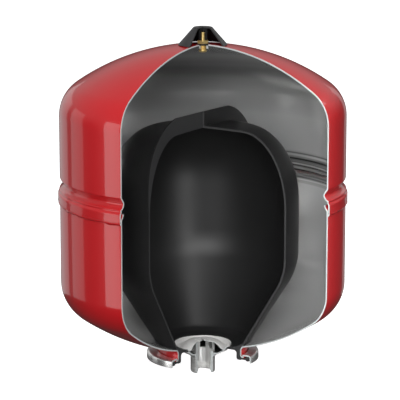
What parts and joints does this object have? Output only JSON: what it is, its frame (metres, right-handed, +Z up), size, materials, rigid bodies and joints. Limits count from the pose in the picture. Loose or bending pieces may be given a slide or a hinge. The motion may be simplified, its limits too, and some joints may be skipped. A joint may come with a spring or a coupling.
{
  "type": "expansion vessel",
  "caption": "Upright pressed-steel expansion vessel shown as a cutaway, with a rubber bag inside, an air valve under a cap on top and a threaded water connection below.",
  "frame": {"origin": "on the vessel's axis, in the plane of the lower end of the connection tube", "axes": "+Z up along the vessel's axis towards the air valve; -Y towards the viewer, and the missing wedge lies between azimuth -33 and +58 degrees, measured from -Y towards +X"},
  "size_m": [0.3858, 0.3542, 0.4679],
  "materials": {
    "red_enamel": "smooth red powder coat outside, satin grey steel inside",
    "bright_steel": "bright zinc-plated steel",
    "pale_steel": "pale satin stainless sheet",
    "bag_rubber": "satin black moulded butyl",
    "seal_rubber": "matte black",
    "valve_brass": "turned brass",
    "white_plastic": "off-white moulded plastic",
    "black_plastic": "satin black moulded plastic"
  },
  "bodies": {
    "vessel": {"upper_shell": "red_enamel", "lower_shell": "red_enamel", "seam_weld": "red_enamel", "flange_ring": "bright_steel", "bladder": "bag_rubber", "connector_tube": "bright_steel", "bore_insert": "white_plastic", "diffuser_disc": "pale_steel", "support_cone": "pale_steel", "cone_weld": "bright_steel", "valve_boss": "bright_steel", "valve_body": "valve_brass", "valve_seal": "seal_rubber", "core_housing": "valve_brass", "core_gasket": "white_plastic", "core_spring": "bright_steel"},
    "cap": {"cap_shell": "black_plastic", "cap_sleeve": "black_plastic"},
    "valve_core": {"core_pin": "valve_brass", "core_poppet": "seal_rubber"}
  },
  "joints": [
    {"name": "cap_lift", "type": "slide", "parent": "vessel", "child": "cap", "axis": [0, 0, 1], "range_m": [0, 0.04]},
    {"name": "core_press", "type": "slide", "parent": "vessel", "child": "valve_core", "axis": [0, 0, -1], "range_m": [0, 0.0012], "stiffness_N_per_m": 300, "springref_m": -0.001, "deforming": ["core_spring"]}
  ]
}
